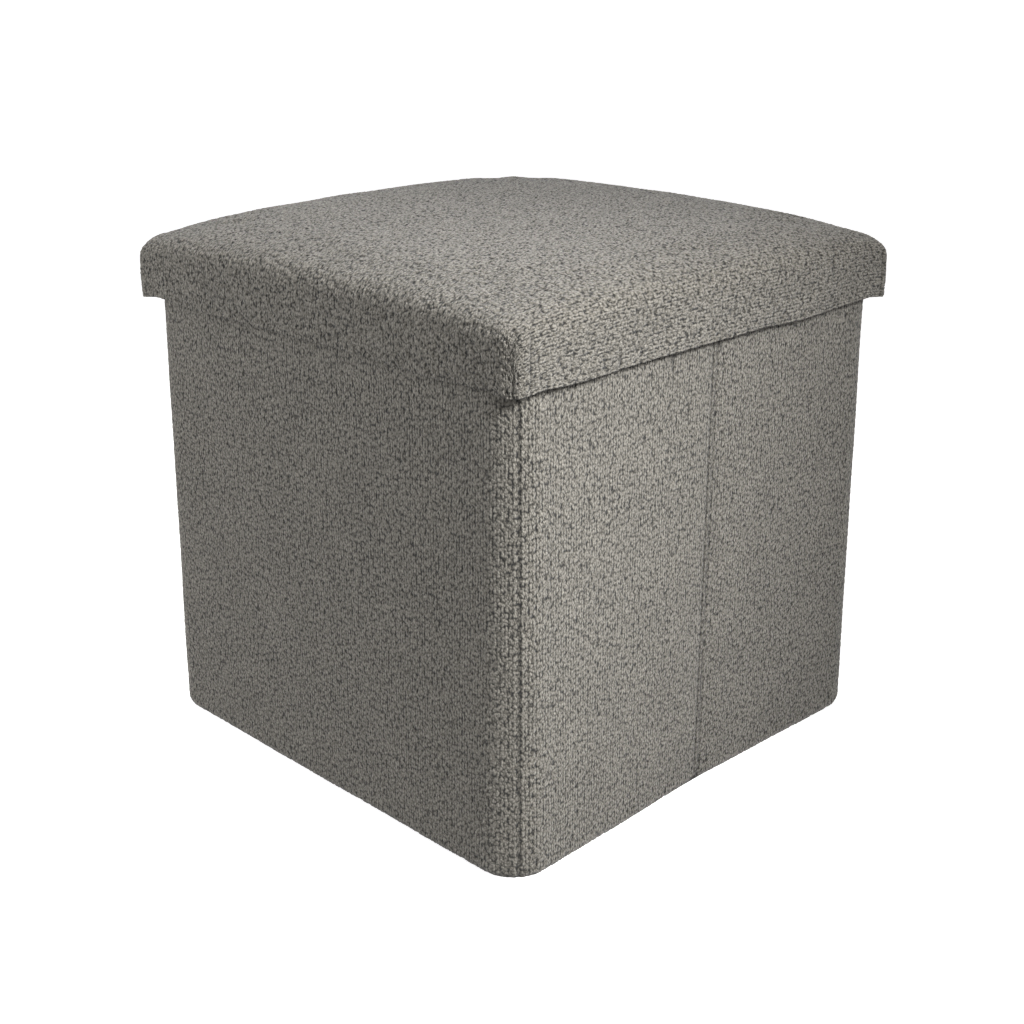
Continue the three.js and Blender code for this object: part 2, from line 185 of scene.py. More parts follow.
class Nodes:
    """Builds one material's node tree with short calls."""

    def __init__(self, name, roughness=0.9, metallic=0.0, sheen=0.0, sheen_roughness=0.5):
        self.material = bpy.data.materials.new(name)
        self.material.use_nodes = True
        self.tree = self.material.node_tree
        self.shader = self.tree.nodes["Principled BSDF"]
        self.shader.inputs["Roughness"].default_value = roughness
        self.shader.inputs["Metallic"].default_value = metallic
        self.shader.inputs["Sheen Weight"].default_value = sheen
        self.shader.inputs["Sheen Roughness"].default_value = sheen_roughness

    def add(self, kind, settings=None, **inputs):
        node = self.tree.nodes.new(kind)
        for key, value in (settings or {}).items():
            setattr(node, key, value)
        for key, value in inputs.items():
            self.put(node, key.replace("_", " "), value)
        return node

    def put(self, node, socket, value):
        target = node.inputs[socket]
        if isinstance(value, bpy.types.NodeSocket):
            self.tree.links.new(value, target)
        else:
            target.default_value = value

    def cloth_place(self):
        """The place on the cloth, in metres."""
        return self.add("ShaderNodeUVMap", {"uv_map": "cloth"}).outputs["UV"]

    def object_place(self):
        return self.add("ShaderNodeTexCoord").outputs["Object"]

    def scaled(self, place, across, along, out=1.0):
        return self.add("ShaderNodeMapping", Vector=place, Scale=(across, along, out)).outputs["Vector"]

    def noise(self, place, scale, detail=2.0, roughness=0.5):
        return self.add("ShaderNodeTexNoise", Vector=place, Scale=scale, Detail=detail,
                        Roughness=roughness).outputs["Fac"]

    def cells(self, place, scale, output="Distance", dimensions="3D"):
        node = self.add("ShaderNodeTexVoronoi", {"voronoi_dimensions": dimensions}, Vector=place, Scale=scale)
        return node.outputs[output]

    def stripes(self, place, scale, direction="X", distortion=0.0):
        node = self.add("ShaderNodeTexWave", {"bands_direction": direction}, Vector=place, Scale=scale,
                        Distortion=distortion)
        return node.outputs["Fac"]

    def attribute(self, name):
        return self.add("ShaderNodeAttribute", {"attribute_name": name}).outputs["Fac"]

    def maths(self, operation, *values, kind="ShaderNodeMath"):
        node = self.add(kind, {"operation": operation})
        for socket, value in enumerate(values):
            self.put(node, socket, value)
        return node.outputs[0]

    def vectors(self, operation, *values):
        return self.maths(operation, *values, kind="ShaderNodeVectorMath")

    def ramp(self, value, *stops):
        """A colour for a value, from stops of (position, colour)."""
        node = self.add("ShaderNodeValToRGB", Fac=value)
        elements = node.color_ramp.elements
        while len(elements) < len(stops):
            elements.new(0.5)
        for element, (position, colour) in zip(elements, stops):
            element.position = position
            element.color = (*colour, 1)
        return node.outputs["Color"]

    def mix(self, share, a, b, blend="MIX"):
        node = self.add("ShaderNodeMix", {"data_type": "RGBA", "blend_type": blend})
        self.put(node, 0, share)
        self.put(node, 6, a)
        self.put(node, 7, b)
        return node.outputs[2]

    def tinted(self, colour, value, *stops, share=1.0):
        """The colour, times a factor that follows a value through stops of (position, factor)."""
        factor = self.ramp(value, *[(position, grey(level, 0)) for position, level in stops])
        return self.mix(share, colour, factor, "MULTIPLY")

    def bump(self, height, depth, normal=None):
        node = self.add("ShaderNodeBump", Height=height, Distance=depth)
        if normal:
            self.put(node, "Normal", normal)
        return node.outputs["Normal"]

    def finish(self, colour, normal=None, roughness=None):
        self.put(self.shader, "Base Color", colour)
        if normal:
            self.put(self.shader, "Normal", normal)
        if roughness:
            self.put(self.shader, "Roughness", roughness)
        return self.material


def grey(value, warmth=0.03):
    """A warm grey."""
    return (value * (1 + warmth), value, value * (1 - 2 * warmth))


def floor_material():
    """White, with a glow that hides shadows as a photographer's cut-out does."""
    glow = 0.62
    m = Nodes("studio_floor", roughness=0.8)
    m.shader.inputs["Emission Color"].default_value = (1, 1, 1, 1)
    m.shader.inputs["Emission Strength"].default_value = glow
    patches = m.noise(m.object_place(), 3)
    return m.finish(m.ramp(patches, (0, grey(0.86, 0.004)), (1, grey(0.9, 0.004))))


def boucle_material():
    """Knitted loops in warm greys: pale rounded strands with small pits darkened as painted shade, in uneven
    wales, and flecks of fibre. The attribute "loop" is the mesh's own relief, and "pressed" is how deep a
    seam or crease is; the colour is darkened by it as painted shade there, and lightened where it is negative
    as painted light on the long loops beside seams."""
    wander = 1.5 * MM
    fleck_size = 1.3 * MM
    m = Nodes("boucle", roughness=0.95, sheen=0.15, sheen_roughness=0.6)
    place = m.cloth_place()
    sway = m.add("ShaderNodeTexNoise", Vector=place, Scale=320, Detail=2).outputs["Color"]
    centred = m.vectors("SUBTRACT", sway, (0.5, 0.5, 0.5))
    moved = m.vectors("MULTIPLY_ADD", centred, (wander, wander, wander), place)
    by_loop = m.scaled(moved, 1 / LOOP_WIDTH, 1 / LOOP_LENGTH)
    loops = m.cells(by_loop, 1.0, dimensions="2D")
    tone = m.cells(by_loop, 1.0, "Color", "2D")
    strands = m.cells(m.scaled(moved, 2.0 / LOOP_WIDTH, 1.6 / LOOP_LENGTH), 1.0, dimensions="2D")
    wales = m.stripes(moved, math.pi / LOOP_WIDTH / 10)
    fibres = m.noise(m.scaled(place, 1.0, 0.5), 2200, 2, 0.6)
    flecks = m.cells(place, 1 / fleck_size, "Color", "2D")

    relief = m.maths("SUBTRACT", 1.0, m.maths("MULTIPLY", loops, 0.6))
    relief = m.maths("SUBTRACT", relief, m.maths("MULTIPLY", strands, 0.6))
    relief = m.maths("ADD", relief, m.maths("MULTIPLY", wales, 0.16))
    # The colour follows the knit's height: painted shade, near black, in the pits between the loops, paler on
    # the loop tops.
    shade = m.maths("ADD", m.maths("MULTIPLY", relief, 0.85), m.maths("MULTIPLY", m.attribute("loop"), 0.16))
    colour = m.ramp(shade, (0.28, grey(0.004, 0.12)), (0.43, grey(0.038, 0.11)), (0.58, grey(0.11, 0.085)),
                    (0.88, grey(0.225, 0.065)))
    colour = m.tinted(colour, tone, (0.0, 0.84), (0.6, 1.0), (1.0, 1.25), share=0.8)
    colour = m.tinted(colour, flecks, (0.86, 1.0), (0.97, 1.5), share=0.8)
    colour = m.tinted(colour, m.noise(place, 30, 3), (0.3, 0.94), (0.7, 1.05))
    # Painted shade: the colour is darkened by "pressed" in seams, creases and the fold line's mark, and
    # lightened where it is negative, as painted light on the long loops beside seams.
    dark = m.mix(1.0, colour, (*grey(0.22), 1), "MULTIPLY")
    colour = m.mix(m.attribute("pressed"), colour, dark)
    return m.finish(colour, m.bump(fibres, 0.2 * MM, m.bump(relief, 0.9 * MM)))


def woven_material(name, dark, light, thread, sheen=0.1):
    """A plain weave whose threads are that wide."""
    m = Nodes(name, roughness=0.85, sheen=sheen)
    place = m.cloth_place()
    turns = math.pi / thread / 10
    weave = m.maths("MULTIPLY", m.stripes(place, turns, "X", 0.3), m.stripes(place, turns, "Y", 0.3))
    slub = m.noise(m.scaled(place, 1, 0.15), 240, 2)
    shade = m.maths("ADD", m.maths("MULTIPLY", weave, 0.5), m.maths("MULTIPLY", slub, 0.5))
    colour = m.ramp(shade, (0.1, dark), (0.8, light))
    colour = m.tinted(colour, m.noise(place, 14, 4), (0.3, 0.88), (0.7, 1.08))
    return m.finish(colour, m.bump(weave, 0.25 * MM, m.bump(slub, 0.2 * MM)))


def thread_material():
    m = Nodes("thread", roughness=0.7, sheen=0.2)
    twist = m.stripes(m.object_place(), 900, "DIAGONAL", 0.5)
    return m.finish(m.ramp(twist, (0.0, grey(0.1)), (1.0, grey(0.24))), m.bump(twist, 0.1 * MM))


def fibreboard_material():
    """Pressed fibres with a mottled, slightly shiny face."""
    m = Nodes("fibreboard", roughness=0.7)
    place = m.object_place()
    flakes = m.cells(m.scaled(place, 1, 1, 0.6), 420, "Color")
    fibres = m.noise(m.scaled(place, 1, 1, 0.35), 900, 4, 0.7)
    blotches = m.noise(place, 22, 3)
    colour = m.ramp(fibres, (0.25, (0.26, 0.17, 0.095)), (0.75, (0.44, 0.31, 0.18)))
    colour = m.mix(0.25, colour, m.ramp(flakes, (0, (0.2, 0.13, 0.07)), (1, (0.55, 0.4, 0.25))))
    colour = m.tinted(colour, blotches, (0.3, 0.88), (0.7, 1.08))
    rough = m.maths("ADD", 0.55, m.maths("MULTIPLY", blotches, 0.3))
    return m.finish(colour, m.bump(fibres, 0.2 * MM), rough)


def card_material():
    """Grey-brown card with faint flutes and recycled specks."""
    flute = 4 * MM
    m = Nodes("card", roughness=0.85)
    place = m.object_place()
    specks = m.cells(place, 900, "Color")
    pulp = m.noise(place, 260, 4, 0.65)
    flutes = m.stripes(place, math.pi / flute / 10, "Z")
    colour = m.ramp(pulp, (0.3, (0.36, 0.26, 0.155)), (0.7, (0.5, 0.38, 0.24)))
    colour = m.mix(m.ramp(specks, (0.9, (0, 0, 0)), (1, (0.8, 0.8, 0.8))), colour, (0.16, 0.11, 0.07, 1))
    return m.finish(colour, m.bump(flutes, 0.15 * MM, m.bump(pulp, 0.1 * MM)))


def foam_material():
    """Open cells in cream foam, yellowed in patches."""
    m = Nodes("foam", roughness=0.95)
    place = m.object_place()
    pores = m.cells(place, 750)
    colour = m.ramp(pores, (0.1, (0.5, 0.44, 0.3)), (0.45, (0.82, 0.76, 0.6)))
    aged = m.ramp(m.noise(place, 12, 3), (0.3, (0.93, 0.88, 0.78)), (0.7, (1, 1, 1)))
    return m.finish(m.mix(1.0, colour, aged, "MULTIPLY"), m.bump(pores, 0.5 * MM))


def steel_material():
    """Galvanised wire, brushed along its length."""
    m = Nodes("staple_steel", roughness=0.35, metallic=1)
    place = m.object_place()
    brushed = m.noise(m.scaled(place, 300, 300, 2500), 1, 3)
    colour = m.ramp(brushed, (0.3, grey(0.5, 0)), (0.7, grey(0.68, 0)))
    rough = m.maths("ADD", 0.25, m.maths("MULTIPLY", brushed, 0.3))
    return m.finish(colour, m.bump(brushed, 0.02 * MM), rough)


# ---------------- the knit's relief


def scattered(i, j, salt):
    """A number from 0 to 1 for each cell (i, j), the same at every run: its bits, mixed by large factors."""
    mask = np.int64(0xFFFFFFFF)
    mixed = (i.astype(np.int64) * 374761393 + j.astype(np.int64) * 668265263 + salt * 144269504) & mask
    mixed = ((mixed ^ (mixed >> 13)) * 1274126177) & mask
    mixed = ((mixed ^ (mixed >> 16)) * 2246822519) & mask
    return (mixed ^ (mixed >> 15)) / float(mask)


def one_loop(across, along, i, j, wander, salt):
    """The height of the loop in cell (i, j): a tilted oval blob, or for some of them a curl."""
    def chance(number):
        return scattered(i, j, salt + number)

    curl_share, curl_radius, curl_height = 0.3, 0.62, 0.95
    slip_across = (chance(1) - 0.5) * (0.35 + 0.65 * wander)
    slip_along = (chance(2) - 0.5) * (0.5 + 0.5 * wander)
    x = across - (i + 0.5 + slip_across) * LOOP_WIDTH
    y = along - (j + 0.5 + slip_along) * LOOP_LENGTH
    turn = 0.25 + (chance(3) - 0.5) * (1.0 + 1.9 * wander)
    size = 0.75 + 0.5 * chance(4)
    reach_across, reach_along = 0.60 * LOOP_WIDTH * size, 0.68 * LOOP_LENGTH * size
    p = (x * np.cos(turn) + y * np.sin(turn)) / reach_across
    q = (y * np.cos(turn) - x * np.sin(turn)) / reach_along
    distance = np.sqrt(p * p + q * q)
    blob = np.sqrt(np.clip(1 - distance * distance, 0, 1))
    curl = curl_height * np.clip(1 - ((distance - curl_radius) / (1 - curl_radius)) ** 2, 0, 1)
    return np.where(chance(5) < curl_share, curl, blob) * (0.72 + 0.28 * chance(6))


def loop_heights(across, along, wander, salt=0):
    """The knit's height, from 0 in a pit to 1 on a loop, at places given as distances across and along its
    wales. wander moves and turns the loops, from 0 in rows to 1."""
    column = np.floor(across / LOOP_WIDTH)
    best = np.zeros_like(across)
    for i in (column - 1, column, column + 1):
        start = scattered(i, i * 0, salt) * LOOP_LENGTH
        row = np.floor((along - start) / LOOP_LENGTH)
        for j in (row - 1, row, row + 1):
            best = np.maximum(best, one_loop(across, along - start, i, j, wander, salt))
    return best


def ease(value, low, high):
    """0 below low, 1 above high, and a smooth step between."""
    t = np.clip((value - low) / (high - low), 0, 1)
    return t * t * (3 - 2 * t)


def valley(distance, width):
    """1 at distance 0, falling to 0 over about twice that width."""
    return np.exp(-((distance / width) ** 2))


def braid(across, along):
    """Two columns of long, slanting loops, one on each side of a seam."""
    aside = np.abs(across) - BRAID_MIDDLE
    steps = along / BRAID_PITCH + np.where(across < 0, 0, 0.4) + 0.2 * np.sin(along * 210)
    lengthwise = (steps - np.floor(steps) - 0.5) * BRAID_PITCH + 0.45 * aside
    p, q = aside / BRAID_HALF_WIDTH, lengthwise / (0.58 * BRAID_PITCH)
    return np.sqrt(np.clip(1 - p * p - q * q, 0, 1))


def dashes(along, pitch, salt):
    """1 on uneven dashes along a line, falling to 0 between them."""
    return ease(np.sin(along * 2 * math.pi / pitch + 1.5 * np.sin(along * 130 + salt)), -0.7, 0.1)


def slack(x, y, z):
    """Gentle unevenness of stretched cloth, from -1 to 1, over a few centimetres."""
    waves = [(31, 17, 23, 0.4), (-19, 37, 41, 1.9), (47, -29, 13, 3.1), (13, 53, -61, 4.4), (71, 61, 29, 5.2)]
    total = sum(np.sin(a * x + b * y + c * z + start) for a, b, c, start in waves)
    return total / len(waves)


# ---------------- mesh helpers


def make_piece(name, points, faces, material, cloth=None, marks=None, flat_faces=()):
    """An object with smooth faces, apart from flat_faces. cloth is each point's place on the cloth, and
    marks holds other values for each point by name."""
    mesh = bpy.data.meshes.new(name)
    mesh.from_pydata(points, [], faces)
    smooth = np.ones(len(mesh.polygons), bool)
    smooth[list(flat_faces)] = False
    mesh.polygons.foreach_set("use_smooth", smooth)
    if cloth is not None:
        corners = np.zeros(len(mesh.loops), np.int32)
        mesh.loops.foreach_get("vertex_index", corners)
        layer = mesh.uv_layers.new(name="cloth")
        layer.data.foreach_set("uv", np.asarray(cloth, np.float32)[corners].ravel())
    for mark, values in (marks or {}).items():
        attribute = mesh.attributes.new(mark, "FLOAT", "POINT")
        attribute.data.foreach_set("value", values.astype(np.float32).ravel())
    mesh.materials.append(material)
    piece = bpy.data.objects.new(name, mesh)
    bpy.context.scene.collection.objects.link(piece)
    return piece


def tube_faces(columns, rows):
    """Faces of a tube of closed rings, one after another, with a face at each end, which come last. They
    look outwards when the rings run anticlockwise, seen from the tube's far end."""
    column, row = np.meshgrid(np.arange(columns - 1), np.arange(rows), indexing="ij")
    here = column * rows + row
    beside = column * rows + (row + 1) % rows
    faces = np.stack([here, here + rows, beside + rows, beside], axis=-1).reshape(-1, 4).tolist()
    faces.append(list(range(rows)))
    faces.append(list(range((columns - 1) * rows, columns * rows))[::-1])
    return faces


def closed_below(upper, floor):
    """Points and faces of a piece with a grid of points as its upper face, straight sides, and a flat
    bottom at the height of floor, which is the last face."""
    index = np.arange(upper[..., 0].size).reshape(upper.shape[:2])
    quads = np.stack([index[:-1, :-1], index[1:, :-1], index[1:, 1:], index[:-1, 1:]], axis=-1)
    faces = quads.reshape(-1, 4).tolist()
    ring = [int(k) for k in [*index[0, :0:-1], *index[:-1, 0], *index[-1, :-1], *index[:0:-1, -1]]]
    points = upper.reshape(-1, 3)
    rim = points[ring].copy()
    rim[:, 2] = floor
    base, count = len(points), len(ring)
    for k in range(count):
        after = (k + 1) % count
        faces.append([ring[after], ring[k], base + k, base + after])
    faces.append([base + k for k in range(count)][::-1])
    return np.concatenate([points, rim]), faces


def samples(start, end, cell):
    return np.linspace(start, end, max(2, round((end - start) / cell) + 1))


def outline(s, proud):
    """The plan's point at distance s round the body, that far outside the body's outer face."""
    quarter = np.floor((s + SEAM_Y) / QUARTER)
    along = s + SEAM_Y - quarter * QUARTER
    turn = np.clip(along - 2 * SEAM_Y, 0, CORNER_ARC) / BODY_RADIUS
    straight = np.minimum(along, 2 * SEAM_Y) - SEAM_Y
    reach = BODY_RADIUS + proud
    x = straight + reach * np.sin(turn)
    y = -SEAM_Y - reach * np.cos(turn)
    spin = quarter * math.pi / 2
    return x * np.cos(spin) - y * np.sin(spin), x * np.sin(spin) + y * np.cos(spin)


def wrapped(name, s, proud, heights, material, cloth_height=None, marks=None):
    """A closed strip that follows the body's outline. proud and heights have a row for each s, and each row
    is the strip's cross-section, anticlockwise as seen looking along growing s."""
    columns, rows = proud.shape
    along = np.repeat(s[:, None], rows, axis=1)
    x, y = outline(along, proud)
    points = np.stack([x, y, heights], axis=-1).reshape(-1, 3)
    cloth_height = heights if cloth_height is None else cloth_height
    cloth = np.stack([along, cloth_height], axis=-1).reshape(-1, 2)
    faces = tube_faces(columns, rows)
    ends = (len(faces) - 2, len(faces) - 1)
    return make_piece(name, points, faces, material, cloth, marks, ends)


def stitch_rows(name, rows, material):
    """Stitches as short threads that dip at both ends, joined in one piece. rows has (places, directions)."""
    length, radius, sides = 2.4 * MM, 0.22 * MM, 6
    profile = np.array([(-1.0, 0.35), (-0.8, 0.8), (-0.4, 1), (0.4, 1), (0.8, 0.8), (1.0, 0.35)])
    stitch_faces = tube_faces(len(profile), sides)
    points, faces = [], []
    for places, directions in rows:
        for place, direction in zip(places, directions):
            forward = direction / np.linalg.norm(direction)
            up = np.array([0.0, 0, 1])
            across = np.cross(forward, up)
            faces += [[len(points) + k for k in face] for face in stitch_faces]
            for along, girth in profile:
                for angle in np.arange(sides) * 2 * math.pi / sides:
                    spread = np.cos(angle) * across + np.sin(angle) * up
                    points.append(place + forward * along * length / 2 + spread * girth * radius)
    return make_piece(name, np.array(points), faces, material)


# ---------------- the outer covers

# Each wall's name, where it starts and ends round the body, and the body it rides on.
WALLS = (
    ("front", -FRONT_SEAM, FRONT_SEAM, "front_wall"),
    ("right_front", FRONT_SEAM, CREASE, "right_front_half"),
    ("right_back", CREASE, BACK_SEAM, "right_back_half"),
    ("back", BACK_SEAM, PERIMETER - BACK_SEAM, "back_wall"),
    ("left_back", PERIMETER - BACK_SEAM, 3 * CREASE, "left_back_half"),
    ("left_front", 3 * CREASE, PERIMETER - FRONT_SEAM, "left_front_half"),
)
OPEN_CORNER = (-FRONT_SEAM, PERIMETER - FRONT_SEAM)
CREASES = (CREASE, 3 * CREASE)

# Where two walls meet: its name, its place round the body, the two bodies, its place in plan, and the way
# that s grows there, 1 for +Y and -1 for -Y. The front wall's left corner isn't here: no joint is there.
MEETINGS = (
    ("front_right_corner", FRONT_SEAM, "front_wall", "right_front_half", (BODY_HALF, -SEAM_Y), 1),
    ("right_crease", CREASE, "right_front_half", "right_back_half", (BODY_HALF, 0), 1),
    ("back_right_corner", BACK_SEAM, "right_back_half", "back_wall", (BODY_HALF, SEAM_Y), 1),
    ("back_left_corner", PERIMETER - BACK_SEAM, "back_wall", "left_back_half", (-BODY_HALF, SEAM_Y), -1),
    ("left_crease", 3 * CREASE, "left_back_half", "left_front_half", (-BODY_HALF, 0), -1),
)

# The strips of cover where two walls meet: half their width, and how thin they are.
STRIP = 6 * MM
HIDDEN_STRIP = 0.9 * MM

# The covers' shape: how far they flare at the floor, the depth of a crease, the faint pressed line beside
# it with the lower end of its mark of painted shade, and the seams, which lie on the rounded corners.
FLARE = 4.5 * MM
CREASE_DEPTH = 0.9 * MM
CREASE_APART = 1.9 * MM
FOLD_LINE = CREASE - 43 * MM
MARK_BOTTOM = LID_HEM - 16 * MM
SEAM_SHIFT = 16 * MM
SEWN, SEWN_BACK = FRONT_SEAM - SEAM_SHIFT, BACK_SEAM + SEAM_SHIFT
SEAMS = (SEWN, SEWN_BACK, PERIMETER - SEWN, PERIMETER - SEWN_BACK, -SEWN)

# How far the ribbon on the walls' top edges reaches down.
RIBBON_DROP = 8 * MM


def signed_distance(s, places):
    """How far s is past the nearest of some places round the body."""
    steps = s[..., None] - np.array(places)
    nearest = np.abs(steps).argmin(axis=-1)
    return np.take_along_axis(steps, nearest[..., None], axis=-1)[..., 0]


def crease_lines(from_crease, z):
    """1 on the two uneven pressed lines of a crease, the first one deeper, and 0 away from them."""
    first, second = valley(from_crease + CREASE_APART, 1.2 * MM), valley(from_crease - CREASE_APART, MM)
    return (first + 0.75 * second) * (0.6 + 0.4 * dashes(z, 7 * MM, 0))


def fold_line(s, z):
    """The faint line beside each crease, with the mark at its top that the material darkens as painted shade:
    1 where it is deepest.
    """
    line = valley(signed_distance(s, (FOLD_LINE, PERIMETER - FOLD_LINE)), 1.3 * MM)
    mark = 0.95 * ease(z, MARK_BOTTOM, MARK_BOTTOM + 3 * MM)
    return line * np.maximum(0.3 * dashes(z, 9 * MM, 2), mark)


def cover_shape(s, z):
    """The outer cloth's distance outside the CAD outline at (s, z), its knit height, and how far it is
    pressed in by seams and creases, which the material paints as shade, and as light on the braid's loops
    where it is negative."""
    x, y = outline(s, np.zeros_like(s))
    from_crease = signed_distance(s, CREASES)
    to_crease = np.abs(from_crease)
    flare = FLARE * (1 - np.clip(z / LID_HEM, 0, 1)) ** 1.3 * np.clip(to_crease / SEAM_Y, 0, 1)
    uneven = 0.55 * MM * slack(x, y, z) * ease(to_crease, 0, 30 * MM)
    broad = 0.9 * MM * valley(to_crease, 11 * MM)
    pinched = 0.7 * MM * ease(z, COVER_TOP - RIBBON_DROP - 2 * MM, COVER_TOP - RIBBON_DROP)

    pair, line = crease_lines(from_crease, z), fold_line(s, z)
    across = signed_distance(s, SEAMS)
    near_seam = valley(across, 4.2 * MM)
    seam = valley(across, 0.8 * MM) * (0.5 + 0.5 * dashes(z, 8 * MM, 4))
    sunk = CREASE_DEPTH * pair + 0.5 * MM * line + 0.6 * MM * seam - 0.3 * MM * near_seam

    loop = loop_heights(s + 0.4 * MM * np.sin(z * 60), z, wander=0.35)
    loop = loop + (braid(across, z) - loop) * near_seam
    relief = KNIT_DEPTH * (loop - KNIT_MIDDLE)
    # pressed: painted shade in the crease lines, the fold line with its mark and the seams; negative beside
    # seams, as painted light on the braid's raised loops.
    pressed = np.clip(pair + line + 0.85 * seam, 0, 1) - 0.16 * near_seam * loop * (1 - seam)
    return flare + uneven - broad - sunk - pinched + relief, loop, pressed


def with_back(values, back=0.0):
    """Rows of values along the shown face, with two more for the plain back's edges."""
    return np.concatenate([values, np.full((len(values), 2), back)], axis=1)


def knitted_strip(name, s, z, thickness, material, tuck=0.0, lift=0.0):
    """The knitted cover over a range of s and z, as a closed piece with its plain back that far inside. Its
    shown face is drawn in by tuck and raised by lift."""
    grid_s, grid_z = np.meshgrid(s, z, indexing="ij")
    shown, loop, pressed = cover_shape(grid_s, grid_z)
    heights = np.concatenate([grid_z + lift, np.tile([z[-1], z[0]], (len(s), 1))], axis=1)
    # pressed goes to the material, which darkens the cloth by it as painted shade.
    marks = {"loop": with_back(loop), "pressed": with_back(pressed)}
    return wrapped(name, s, with_back(shown - tuck, -thickness), heights, material, marks=marks)


def make_covers(material):
    """The knitted cover of each wall, and the strips of it where two walls meet. Returns the
    places round the body where they have points."""
    z = samples(COVER_BOTTOM, COVER_TOP, CELL_ALONG)
    places = []
    for name, start, end, body in WALLS:
        start += 0 if start in OPEN_CORNER else STRIP
        end -= 0 if end in OPEN_CORNER else STRIP
        s = samples(start, end, CELL_ACROSS)
        places.append(s)
        piece = knitted_strip(f"{name}_boucle", s, z, COVER_THICKNESS, material)
        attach(piece, body)
        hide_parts(f"{name}_cover")
    for name, middle, first, second, (x, y), way in MEETINGS:
        s = samples(middle - STRIP, middle + STRIP, CELL_ACROSS)
        places.append(s)
        piece = knitted_strip(f"{name}_boucle", s, z, HIDDEN_STRIP + CREASE_DEPTH, material)
        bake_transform(piece)
    return np.unique(np.concatenate(places).round(7))


def bottom_sheet(material):
    """The cloth under the body, with its rim turned up inside the lowest band of the cover."""
    rings = []
    rim = samples(0, PERIMETER, 8 * MM)[:-1]
    for inset, height in ((4.0, 0.7), (2.0, 0.1), (30.0, 0.0), (30.0, 1.0), (3.4, 1.2)):
        x, y = outline(rim, -inset * MM)
        rings.append(np.stack([x, y, np.full_like(x, height * MM)], axis=1))
    count = len(rim)
    points = np.concatenate(rings)
    faces = []
    for upper, lower in ((0, 1), (1, 2), (3, 4), (4, 0)):
        for k in range(count):
            after = (k + 1) % count
            faces.append([upper * count + k, lower * count + k, lower * count + after, upper * count + after])
    faces.append(list(range(2 * count, 3 * count))[::-1])
    faces.append(list(range(3 * count, 4 * count)))
    return make_piece("bottom_sheet", points, faces, material, points[:, :2])


def make_bottom(material, underside, places):
    """The lowest band of the cover, continuous with the walls, and the cloth under the body. They stay with
    the back wall."""
    floor_gap = 0.5 * MM
    z = samples(floor_gap, COVER_BOTTOM, CELL_ALONG)
    tuck = 1.6 * MM * (1 - ease(z, floor_gap, 4 * MM))
    from_crease = signed_distance(places, CREASES)
    notch = 3 * MM * valley(from_crease, 3 * MM)[:, None] * (1 - ease(z, 0, COVER_BOTTOM))
    band = knitted_strip("bottom_band", places, z, COVER_THICKNESS, material, tuck, notch)
    sheet = bottom_sheet(underside)
    for piece in (band, sheet):
        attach(piece, "back_wall")
        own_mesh(piece)
    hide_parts("bottom_cloth")


# ---------------- linings and bindings


def lining_shell(name, start, end, material):
    """A lining over a range of s, a little slack, with its shown face inside and puckers below its top."""
    cell = 3 * MM
    s, z = samples(start, end, cell), samples(COVER_BOTTOM, COVER_TOP, cell)
    grid_s, grid_z = np.meshgrid(s, z, indexing="ij")
    x, y = outline(grid_s, np.zeros_like(grid_s))
    waves = 0.35 * MM * slack(2 * x, 2 * y, 1.4 * grid_z) * (grid_z > COVER_BOTTOM)
    puckers = 0.1 * MM * np.sin(grid_s * 420) * ease(grid_z, COVER_TOP - 25 * MM, COVER_TOP)
    shown = 0.2 * MM - WALL_THICKNESS - np.abs(waves) - puckers
    back = np.full((len(s), 2), LINING_THICKNESS - WALL_THICKNESS)
    proud = np.concatenate([back, shown[:, ::-1]], axis=1)
    heights = np.concatenate([np.tile([z[0], z[-1]], (len(s), 1)), grid_z[:, ::-1]], axis=1)
    return wrapped(name, s, proud, heights, material)


def make_linings(material):
    """The inner lining of each wall, and the part of it that crosses each crease."""
    gap, cross = 0.3 * MM, 5 * MM
    for name, start, end, body in WALLS:
        whole = name in ("front", "back")
        if not whole:
            start += cross if start in CREASES else gap
            end -= cross if end in CREASES else gap
        piece = lining_shell(f"{name}_lining_cloth", start, end, material)
        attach(piece, body)
        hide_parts(f"{name}_lining")
    for name, middle, first, second, (x, y), way in MEETINGS:
        if middle not in CREASES:
            continue
        piece = lining_shell(f"{name}_lining_cloth", middle - cross, middle + cross, material)
        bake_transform(piece)


def over_edge(outer, inner, height, radius, bottom):
    """A path from outside over the wall's top edge to inside, as (proud, z) points."""
    turns = np.linspace(0, math.pi / 2, 5)
    right = [(outer - radius + radius * math.cos(a), height - radius + radius * math.sin(a)) for a in turns]
    left = [(inner + radius - radius * math.sin(a), height - radius + radius * math.cos(a)) for a in turns]
    return [(outer, bottom), *right, *left, (inner, bottom)]


def make_bindings(ribbon, thread):
    """The ribbon folded over each wall's top edge, with a row of stitches on both sides."""
    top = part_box("front_binding")[1].z
    outside, inside = 0.1 * MM, -WALL_THICKNESS - 0.45 * MM
    thickness, bend, margin = 0.6 * MM, 1.4 * MM, 0.3 * MM
    outer_path = over_edge(outside, inside, top, bend, top - RIBBON_DROP)
    inner_path = over_edge(outside - thickness, inside + thickness, top - thickness, bend - thickness,
                           top - thickness - RIBBON_DROP)
    section = np.array(outer_path + inner_path[::-1])
    around = np.concatenate([[0], np.cumsum(np.hypot(*np.diff(section, axis=0).T))])
    for name, start, end, body in WALLS:
        s = samples(start + margin, end - margin, 3 * MM)
        proud, heights, along = (np.tile(values, (len(s), 1)) for values in (*section.T, around))
        sway = 0.25 * MM * np.sin(s[:, None] * 260) * ease(top - heights, 2 * MM, RIBBON_DROP)
        piece = wrapped(f"{name}_ribbon", s, proud, heights + sway, ribbon, along)
        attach(piece, body)
        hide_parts(f"{name}_binding")
        rows = [ribbon_stitches(start, end, side, top - RIBBON_DROP) for side in (outside, inside)]
        seam = stitch_rows(f"{name}_ribbon_stitches", rows, thread)
        seam.parent = piece


